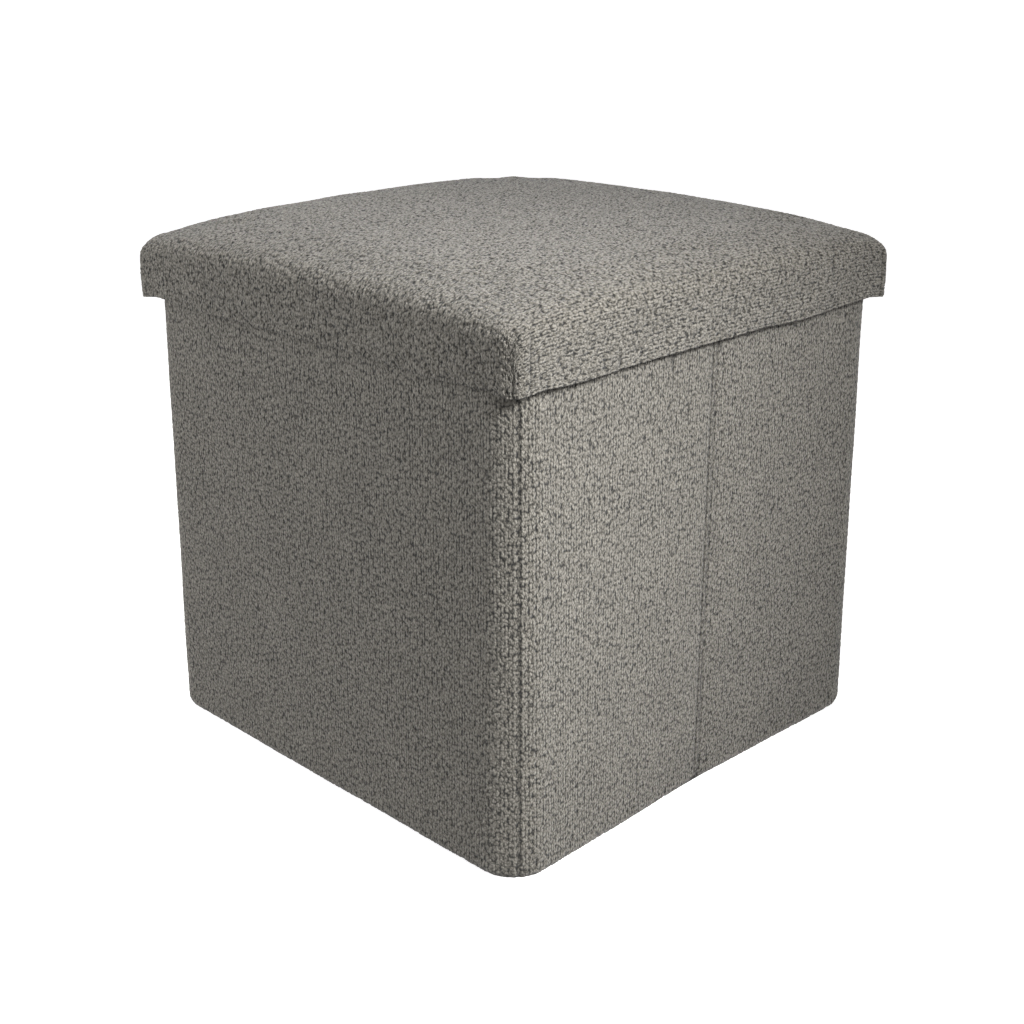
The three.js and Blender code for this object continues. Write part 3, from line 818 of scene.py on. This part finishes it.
def ribbon_stitches(start, end, proud, hem):
    """Places and directions of a row of stitches above the ribbon's hem."""
    above_hem, end_gap, pitch = 1.8 * MM, 8 * MM, 3.2 * MM
    s = samples(start + end_gap, end - end_gap, pitch)
    x, y = outline(s, np.full_like(s, proud))
    next_x, next_y = outline(s + MM, np.full_like(s, proud))
    places = np.stack([x, y, np.full_like(x, hem + above_hem)], axis=1)
    return places, np.stack([next_x - x, next_y - y, np.zeros_like(x)], axis=1)


def make_flat_cloth(name, low, high, cell, uneven, material):
    """A flat cloth on a rectangle from low to high, with slack in its upper face."""
    x, y = samples(low.x, high.x, cell), samples(low.y, high.y, cell)
    grid_x, grid_y = np.meshgrid(x, y, indexing="ij")
    edge = np.minimum.reduce([grid_x - low.x, high.x - grid_x, grid_y - low.y, high.y - grid_y])
    waves = uneven * slack(2.2 * grid_x, 1.7 * grid_y, grid_x * 0)
    upper = np.stack([grid_x, grid_y, high.z + ease(edge, 0, 3 * cell) * waves], axis=-1)
    points, faces = closed_below(upper, low.z)
    return make_piece(name, points, faces, material, points[:, :2], flat_faces=(len(faces) - 1,))


# ---------------- the lid

# The cover's coarse mesh, and the rounding of its corners in plan.
LID_CELLS = 96
SKIRT_ROWS = 10
LID_CORNER_RADIUS = 12 * MM

# The knit of the lid, which is a little coarser, and how far its corner seams lie from the diagonals.
LID_KNIT_DEPTH = 1.3 * MM
LID_LOOP_SCALE = 1.25
LID_SEAM_SHIFT = 14 * MM

# The crown's shape, as in the CAD, and the height where its steep edge turns into the skirt.
CROWN_BASE, CROWN_RISE = 336.6 * MM, LID_TOP - 336.6 * MM
CROWN_PLAN_POWER, CROWN_EDGE_POWER = 2.5, 0.15
SKIRT_TOP = 357 * MM


def crown_height(x, y):
    """The padded top's height: gently crowned, and steep at its edges."""
    def fall(distance):
        return 1 - np.clip(np.abs(distance) / LID_HALF, 0, 1) ** CROWN_PLAN_POWER
    return CROWN_BASE + CROWN_RISE * (fall(x) * fall(y)) ** CROWN_EDGE_POWER


def crown_places(count):
    """Distances from the middle of the lid, evenly spaced along its section down to the skirt's top, and
    the length of half that section."""
    fine = LID_HALF * np.sin(np.linspace(0, math.pi / 2, 4000))
    height = crown_height(fine, fine * 0)
    keep = height > SKIRT_TOP
    fine, height = fine[keep], height[keep]
    length = np.concatenate([[0], np.cumsum(np.hypot(np.diff(fine), np.diff(height)))])
    half = np.interp(np.linspace(0, length[-1], count // 2 + 1), length, fine)
    return np.concatenate([-half[:0:-1], half]), length[-1]


def round_corner(x, y, half, radius):
    """Moves the points of a square of that half width so that its plan has corners of that radius."""
    core = half - radius
    over_x, over_y = np.clip(np.abs(x) - core, 0, None), np.clip(np.abs(y) - core, 0, None)
    reach = np.hypot(over_x, over_y)
    scale = np.where(reach > 1e-9, np.maximum(over_x, over_y) / np.maximum(reach, 1e-12), 1)
    new_x = np.sign(x) * (np.abs(x) - over_x + over_x * scale)
    new_y = np.sign(y) * (np.abs(y) - over_y + over_y * scale)
    return new_x, new_y


def lid_top(places, flat):
    """The lid cover's square top: its points, its faces, and each face corner's place on the uncut cloth."""
    count = len(places)
    points = [(x, y, float(crown_height(x, y))) for x in places for y in places]
    faces, cloth = [], []
    for i in range(count - 1):
        for j in range(count - 1):
            ring = [(i, j), (i + 1, j), (i + 1, j + 1), (i, j + 1)]
            faces.append([a * count + b for a, b in ring])
            cloth.append([(flat[a], flat[b]) for a, b in ring])
    return points, faces, cloth


def skirt_column(i, j, places):
    """The skirt's points below point (i, j) of the top's edge. The first third moves out to the skirt."""
    ends = (0, len(places) - 1)
    x, y = places[i], places[j]
    top = float(crown_height(x, y))
    edge_x = math.copysign(LID_HALF, x) if i in ends else x
    edge_y = math.copysign(LID_HALF, y) if j in ends else y
    share = np.arange(1, SKIRT_ROWS + 1) / SKIRT_ROWS
    settle = np.minimum(1, 3 * share)
    return list(zip(x + (edge_x - x) * settle, y + (edge_y - y) * settle, top + (LID_HEM - top) * share))


def lid_grid():
    """The lid cover's coarse grid: a square top and four sides that share their points with it. Returns
    points, faces, each face corner's place on the uncut cloth, and the hem's points in order round it."""
    places, half_length = crown_places(LID_CELLS)
    flat = np.linspace(-half_length, half_length, len(places))
    points, faces, cloth = lid_top(places, flat)
    last = len(places) - 1
    rim = [(k, 0) for k in range(last)] + [(last, k) for k in range(last)]
    rim += [(last - k, last) for k in range(last)] + [(0, last - k) for k in range(last)]
    columns = []
    for i, j in rim:
        columns.append([i * len(places) + j, *range(len(points), len(points) + SKIRT_ROWS)])
        points += skirt_column(i, j, places)
    drop = (SKIRT_TOP - LID_HEM) / SKIRT_ROWS
    outwards = [(0, -1), (1, 0), (0, 1), (-1, 0)]
    for k in range(len(rim)):
        out_x, out_y = outwards[k // last]
        after = (k + 1) % len(rim)
        for row in range(SKIRT_ROWS):
            ring = [(k, row), (k, row + 1), (after, row + 1), (after, row)]
            faces.append([columns[a][b] for a, b in ring])
            corners = [(*rim[a], b * drop) for a, b in ring]
            cloth.append([(flat[i] + out_x * down, flat[j] + out_y * down) for i, j, down in corners])
    points = np.array(points)
    x, y = round_corner(points[:, 0], points[:, 1], LID_HALF, LID_CORNER_RADIUS)
    return np.stack([x, y, points[:, 2]], axis=1), faces, cloth, [column[-1] for column in columns]


def hem_waves(x, y):
    """How far the lid's hem strays up or down along its sides, and its dip at the corners."""
    wave = 0.7 * MM * np.sin((x - y) * 34 + 0.8) + 0.5 * MM * np.sin((x + y) * 53 + 2.1)
    corner = ease(np.minimum(np.abs(x), np.abs(y)), LID_HALF - 30 * MM, LID_HALF - 4 * MM)
    return wave * (1 - corner) - 1.6 * MM * corner


def inflate(piece, pinned):
    """Swells the lid's cover by cloth simulation, and limits how far each point moves."""
    largest_move, last_frame = 1.2 * MM, 20
    rest = read_points(piece.data)
    group = piece.vertex_groups.new(name="pinned")
    for vertex, weight in enumerate(pinned):
        group.add([vertex], float(weight), "REPLACE")
    modifier = piece.modifiers.new("Cloth", "CLOTH")
    settings = modifier.settings
    settings.quality = 6
    settings.mass = 0.25
    settings.tension_stiffness = 12
    settings.compression_stiffness = 12
    settings.shear_stiffness = 4
    settings.bending_stiffness = 4
    settings.use_pressure = True
    settings.uniform_pressure_force = 1.2
    settings.vertex_group_mass = "pinned"
    settings.effector_weights.gravity = 0
    for number in range(1, last_frame + 1):
        bpy.context.scene.frame_set(number)
    graph = bpy.context.evaluated_depsgraph_get()
    move = read_points(piece.evaluated_get(graph).data) - rest
    piece.modifiers.remove(modifier)
    piece.vertex_groups.remove(group)
    bpy.context.scene.frame_set(1)
    length = np.linalg.norm(move, axis=1)
    move *= np.minimum(1, largest_move / np.maximum(length, 1e-9))[:, None]
    write_points(piece.data, rest + move)
    print(f"lid cover swelled by up to {length.max() / MM:.1f} mm, mean {length.mean() / MM:.2f} mm")


def read_points(mesh, what="co"):
    values = np.zeros(len(mesh.vertices) * 3)
    if what == "co":
        mesh.vertices.foreach_get("co", values)
    else:
        mesh.vertex_normals.foreach_get("vector", values)
    return values.reshape(-1, 3)


def write_points(mesh, points):
    mesh.vertices.foreach_set("co", points.ravel())
    mesh.update()


def coarse_lid(points, faces, cloth, material):
    """The lid cover's coarse mesh, a little below the CAD's so that it can swell, with a wavy hem."""
    inset = 1.2 * MM
    padded_share = ease(points[:, 2], 340 * MM, 362 * MM)
    lowered = points.copy()
    lowered[:, 2] -= inset * padded_share
    coarse = make_piece("lid_coarse", lowered, faces, material)
    layer = coarse.data.uv_layers.new(name="cloth")
    layer.data.foreach_set("uv", np.array(cloth, np.float32).ravel())
    inflate(coarse, 1 - padded_share)
    shape = read_points(coarse.data)
    low = 1 - ease(shape[:, 2], LID_HEM, SKIRT_TOP)
    shape[:, 2] += hem_waves(shape[:, 0], shape[:, 1]) * low
    write_points(coarse.data, shape)
    return coarse


def subdivided(coarse):
    """A dense mesh made from the coarse piece, which is removed."""
    smoothing = coarse.modifiers.new("Subdivision", "SUBSURF")
    smoothing.levels = smoothing.render_levels = 2
    smoothing.uv_smooth = "NONE"
    graph = bpy.context.evaluated_depsgraph_get()
    dense = bpy.data.meshes.new_from_object(coarse.evaluated_get(graph))
    bpy.data.objects.remove(coarse)
    return dense


def boundary_in_order(mesh):
    """The points of a mesh's one open edge, in order of their angle round the middle."""
    edges = np.zeros(len(mesh.edges) * 2, np.int32)
    mesh.edges.foreach_get("vertices", edges)
    uses = np.zeros(len(mesh.edges), np.int32)
    loop_edges = np.zeros(len(mesh.loops), np.int32)
    mesh.loops.foreach_get("edge_index", loop_edges)
    np.add.at(uses, loop_edges, 1)
    rim = np.unique(edges.reshape(-1, 2)[uses == 1])
    points = read_points(mesh)
    return [int(k) for k in rim[np.argsort(np.arctan2(points[rim, 1], points[rim, 0]))]]


def hem_faces(outer, inner, hem_outer, hem):
    """Faces that join the cover's dense outer face to its coarse inner one along the hem. The inner points
    come after the outer ones."""
    hem_inner = sorted(hem, key=lambda k: math.atan2(inner[k, 1], inner[k, 0]))
    start = int(np.argmin([np.linalg.norm(outer[k, :2] - inner[hem_inner[0], :2]) for k in hem_outer]))
    hem_outer = hem_outer[start:] + hem_outer[:start]
    per_cell = len(hem_outer) // len(hem_inner)
    faces = []
    for k, here in enumerate(hem_inner):
        following = hem_inner[(k + 1) % len(hem_inner)]
        run = [hem_outer[(k * per_cell + step) % len(hem_outer)] for step in range(per_cell + 1)]
        faces.append([len(outer) + here, len(outer) + following, *reversed(run)])
    return faces


def knit_lid(mesh):
    """Displaces the dense lid cover by its knit, sinks its corner seams, and returns its points, knit
    heights, how far seams press it in (painted shade in the seams, painted light on the ridge beside them),
    and places on the cloth."""
    corners = np.zeros(len(mesh.loops), np.int32)
    mesh.loops.foreach_get("vertex_index", corners)
    uv = np.zeros(len(mesh.loops) * 2, np.float32)
    mesh.uv_layers["cloth"].data.foreach_get("uv", uv)
    cloth = np.zeros((len(mesh.vertices), 2))
    cloth[corners] = uv.reshape(-1, 2)
    points, normals = read_points(mesh), read_points(mesh, "normal")
    x, y, z = points.T
    from_seam = np.abs(x) - np.abs(y) - LID_SEAM_SHIFT
    at_corner = ease(np.minimum(np.abs(x), np.abs(y)), LID_HALF - 26 * MM, LID_HALF - 12 * MM)
    at_corner = at_corner * (1 - ease(z, 352 * MM, 366 * MM))
    seam = valley(from_seam, 0.9 * MM) * at_corner
    beside = valley(from_seam + 4 * MM, 2.4 * MM) * at_corner
    across, along = (cloth / LID_LOOP_SCALE).T
    loop = loop_heights(across, along, wander=0.8, salt=40) * (1 - 0.35 * seam)
    uneven = 0.5 * MM * slack(1.6 * x, 1.6 * y, z)
    pucker = 0.35 * MM * np.sin(cloth[:, 0] * 190 + cloth[:, 1] * 90) * (1 - ease(z, LID_HEM, SKIRT_TOP))
    shift = LID_KNIT_DEPTH * (loop - KNIT_MIDDLE) + uneven + pucker - 0.8 * MM * seam + 0.5 * MM * beside
    # pressed: painted shade along the corner seams, and painted light on the loops of the ridge beside them
    # where it is negative.
    pressed = 0.9 * seam * (0.5 + 0.5 * dashes(z, 9 * MM, 1)) - 0.2 * beside * loop
    return points + normals * shift[:, None], loop, pressed, cloth


def make_lid_cover(material):
    """The crowned, padded cover with its skirt: simulated, subdivided, knitted and closed inside."""
    thickness, hem_thickness, plain_loop = 2.2 * MM, 0.3 * MM, 0.4
    points, faces, cloth, hem = lid_grid()
    coarse = coarse_lid(points, faces, cloth, material)
    shape = read_points(coarse.data)
    inner = shape - read_points(coarse.data, "normal") * thickness
    inner[:, 2] = np.where(inner[:, 2] < LID_HEM + 2 * MM, shape[:, 2] + hem_thickness, inner[:, 2])
    dense = subdivided(coarse)
    outer, loop, pressed, outer_cloth = knit_lid(dense)
    outer_faces = [list(polygon.vertices) for polygon in dense.polygons]
    inner_faces = [[len(outer) + k for k in reversed(face)] for face in faces]
    all_faces = outer_faces + inner_faces + hem_faces(outer, inner, boundary_in_order(dense), hem)
    bpy.data.meshes.remove(dense)
    # The "pressed" mark is painted shade and light in the material; the inner face has none.
    marks = {"loop": np.concatenate([loop, np.full(len(inner), plain_loop)]),
             "pressed": np.concatenate([pressed, np.zeros(len(inner))])}
    piece = make_piece("lid_boucle", np.concatenate([outer, inner]), all_faces, material,
                       np.concatenate([outer_cloth, inner[:, :2]]), marks,
                       flat_faces=range(len(outer_faces), len(all_faces)))
    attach(piece, "lid")
    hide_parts("lid_top_panel", *[f"lid_skirt_{side}" for side in SIDES])


def make_lid_inside(lining, thread, foam):
    """The lining under the lid's board and inside its skirt, and the foam in its cover."""
    low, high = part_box("lid_lining")
    piece = make_flat_cloth("lid_lining_cloth", low, high, 5 * MM, 0, lining)
    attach(piece, "lid")
    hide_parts("lid_lining")
    for side in SIDES:
        skirt_lining(side, lining, thread)
    pad = foam_pad(foam)
    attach(pad, "lid")
    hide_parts("lid_foam")


def skirt_lining(side, lining, thread):
    """The lining inside one side of the skirt, slightly rippled, with a row of stitches above its hem."""
    low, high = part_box(f"lid_skirt_lining_{side}")
    depth, cell = 0.12 * MM, 3 * MM
    lengthwise = 0 if side in ("front", "back") else 1
    out = 1 - lengthwise
    inwards = -1 if side in ("right", "back") else 1
    shown, hidden = (low[out], high[out]) if inwards < 0 else (high[out], low[out])
    along, z = samples(low[lengthwise], high[lengthwise], cell), samples(low.z, high.z, cell)
    grid_along, grid_z = np.meshgrid(along, z, indexing="ij")
    ripple = shown + inwards * depth * (np.sin(grid_along * 230 + grid_z * 180) - 1)
    across = with_back(ripple, hidden)
    heights = np.concatenate([grid_z, np.tile([z[-1], z[0]], (len(along), 1))], axis=1)
    lengths = np.repeat(along[:, None], across.shape[1], axis=1)
    plan = [lengths, across] if lengthwise == 0 else [across, lengths]
    points = np.stack([*plan, heights], axis=-1).reshape(-1, 3)
    faces = tube_faces(*across.shape)
    if side in ("front", "right"):
        faces = [face[::-1] for face in faces]
    cloth = np.stack([lengths, heights], axis=-1).reshape(-1, 2)
    ends = (len(faces) - 2, len(faces) - 1)
    piece = make_piece(f"lid_skirt_lining_cloth_{side}", points, faces, lining, cloth, flat_faces=ends)
    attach(piece, "lid")
    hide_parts(f"lid_skirt_lining_{side}")
    spots = samples(low[lengthwise] + 6 * MM, high[lengthwise] - 6 * MM, 3.6 * MM)
    places, directions = np.zeros((len(spots), 3)), np.zeros((len(spots), 3))
    places[:, lengthwise], places[:, out], places[:, 2] = spots, shown, low.z + 3 * MM
    directions[:, lengthwise] = 1
    seam = stitch_rows(f"lid_skirt_stitches_{side}", [(places, directions)], thread)
    seam.parent = piece


def foam_pad(material):
    """The foam block under the lid's cover, crowned as the lid is."""
    low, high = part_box("lid_foam")
    below_cover, least, corner_radius, widen = 1.2 * MM, 2 * MM, 36 * MM, 0.985
    x = samples(low.x, high.x, 6 * MM)
    grid_x, grid_y = np.meshgrid(x, x, indexing="ij")
    spread = widen * LID_HALF / high.x
    top = crown_height(grid_x * spread, grid_y * spread) - (LID_TOP - high.z) - below_cover
    top = np.minimum(high.z, np.maximum(top, low.z + least))
    plan_x, plan_y = round_corner(grid_x, grid_y, high.x, corner_radius)
    points, faces = closed_below(np.stack([plan_x, plan_y, top], axis=-1), low.z)
    return make_piece("lid_foam_pad", points, faces, material, points[:, :2])


# ---------------- the base and the boards


def make_base(lining, ribbon, thread):
    """The cloth glued over the base board, and the ribbon tab that lifts it."""
    low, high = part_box("base_board_cloth")
    piece = make_flat_cloth("base_cloth", low, high, 4 * MM, 0.25 * MM, lining)
    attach(piece, "base")
    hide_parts("base_board_cloth")

    low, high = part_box("base_pull_tab")
    under = low.z + 0.05 * MM
    tab = pull_ribbon(low, high, under, ribbon)
    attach(tab, "base")
    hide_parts("base_pull_tab")
    seam = stitch_rows("base_pull_stitches", crossed_box(low, high, under + 0.9 * MM), thread)
    seam.parent = tab


def pull_ribbon(low, high, under, material):
    """A ribbon sewn down at its back, whose free front part arches up a little."""
    thickness, rise, free_share = 0.85 * MM, 0.9 * MM, 0.62
    y = samples(low.y, high.y, MM)
    share = (y - low.y) / (high.y - low.y)
    lift = rise * np.sin(np.clip(share / free_share, 0, 1) * math.pi)
    upper = np.stack([y, under + thickness + lift], axis=1)
    lower = np.stack([y, np.full_like(y, under)], axis=1)
    section = np.array([*upper[::-1], (low.y - 0.6 * MM, under + 0.6 * MM), *lower])
    x = samples(low.x, high.x, 2.5 * MM)
    points = np.array([(across, *place) for across in x for place in section])
    faces = [face[::-1] for face in tube_faces(len(x), len(section))]
    return make_piece("base_pull_ribbon", points, faces, material, points[:, :2])


def crossed_box(low, high, height):
    """Rows of stitches on the edges of a box near the tab's back end, and on its diagonals."""
    pitch, end_gap, side_gap = 3 * MM, 0.5 * MM, 4 * MM
    left, right = low.x + side_gap, high.x - side_gap
    front, back = high.y - 15 * MM, high.y - 3 * MM
    corners = [(left, front), (right, front), (right, back), (left, back)]
    lines = [(corners[k], corners[(k + 1) % 4]) for k in range(4)]
    lines += [(corners[0], corners[2]), (corners[1], corners[3])]
    rows = []
    for (x0, y0), (x1, y1) in lines:
        length = math.hypot(x1 - x0, y1 - y0)
        count = int((length - end_gap) / pitch)
        shares = (np.arange(count) + 0.5) * pitch / length
        spots = np.array([(x0 + (x1 - x0) * t, y0 + (y1 - y0) * t, height) for t in shares])
        rows.append((spots, np.tile([x1 - x0, y1 - y0, 0], (len(spots), 1))))
    return rows


def finish_cad_parts():
    """Materials for the boards, cards and staples, which keep their CAD shape."""
    board, card, steel = fibreboard_material(), card_material(), steel_material()
    for name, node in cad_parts.items():
        if name.endswith("_board"):
            chosen, slot = board, "fibreboard"
        elif name.startswith("lid_skirt_card"):
            chosen, slot = card, "card"
        elif name.startswith("lid_staple"):
            chosen, slot = steel, "staple_wire"
        else:
            continue
        for material_slot in node.material_slots:
            material_slot.material = chosen


boucle = boucle_material()
lining = woven_material("lining_weave", grey(0.05), grey(0.115), 0.7 * MM)
underside = woven_material("underside_weave", grey(0.02), grey(0.05), 0.9 * MM)
ribbon = woven_material("ribbon_weave", grey(0.035), grey(0.1), 0.5 * MM, sheen=0.25)
thread = thread_material()

make_camera()
make_studio()
cover_places = make_covers(boucle)
make_bottom(boucle, underside, cover_places)
make_linings(lining)
make_bindings(ribbon, thread)
make_lid_cover(boucle)
make_lid_inside(lining, thread, foam_material())
make_base(lining, ribbon, thread)
finish_cad_parts()
